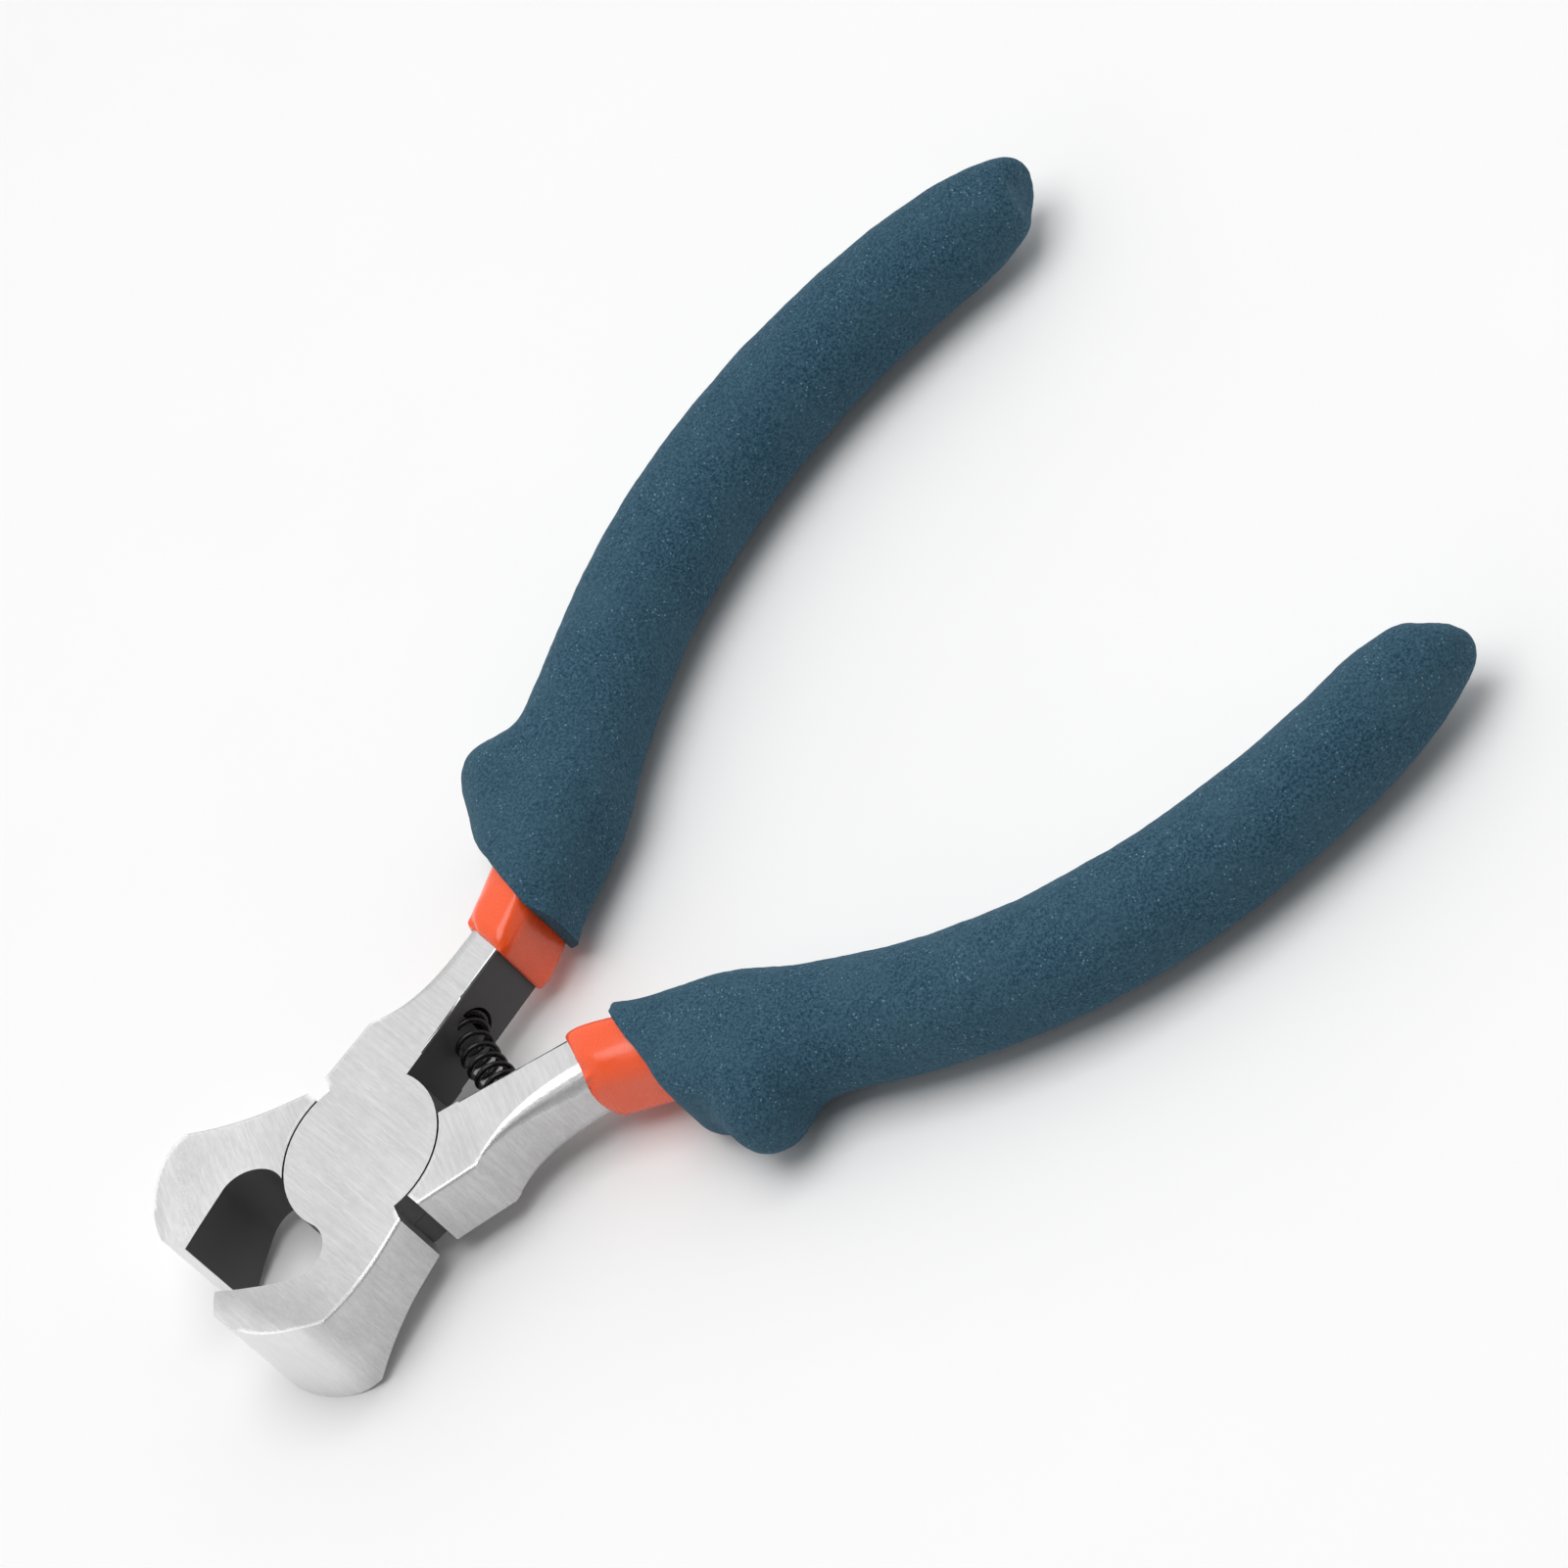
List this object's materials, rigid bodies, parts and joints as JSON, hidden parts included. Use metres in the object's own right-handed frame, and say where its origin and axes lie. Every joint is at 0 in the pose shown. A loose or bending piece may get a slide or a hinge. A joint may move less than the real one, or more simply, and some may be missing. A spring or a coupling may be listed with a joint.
{
  "type": "tile nippers",
  "caption": "End-cutting nippers with wide hooked jaws on a lap joint, a return spring and foam-covered handles.",
  "frame": {"origin": "on the pivot axis, at the centre of the joint's flat back face", "axes": "+X from the pivot towards the jaws, +Y towards the back lever's handle, +Z along the pivot axis out of the front face"},
  "size_m": [0.1484, 0.1102, 0.015],
  "materials": {
    "ground_steel": "fine ground with visible lines, blackened between the jaws",
    "rivet_steel": "ground flush with the joint faces",
    "black_wire": "black oiled spring wire",
    "dipped_vinyl": "glossy dipped vinyl",
    "foam": "fine closed-cell foam, matte and speckled"
  },
  "bodies": {
    "front_arm": {"front_lever": "ground_steel", "pivot_rivet": "rivet_steel", "front_sleeve": "dipped_vinyl", "front_grip": "foam", "return_spring": "black_wire"},
    "back_arm": {"back_lever": "ground_steel", "back_sleeve": "dipped_vinyl", "back_grip": "foam"}
  },
  "joints": [
    {"name": "jaw_pivot", "type": "hinge", "parent": "front_arm", "child": "back_arm", "pos_m": [0, 0, 0.0043], "axis": [0, 0, 1], "range_deg": [-9.5, 20.2], "stiffness_Nm_per_rad": 0.35, "deforming": ["return_spring"]}
  ]
}
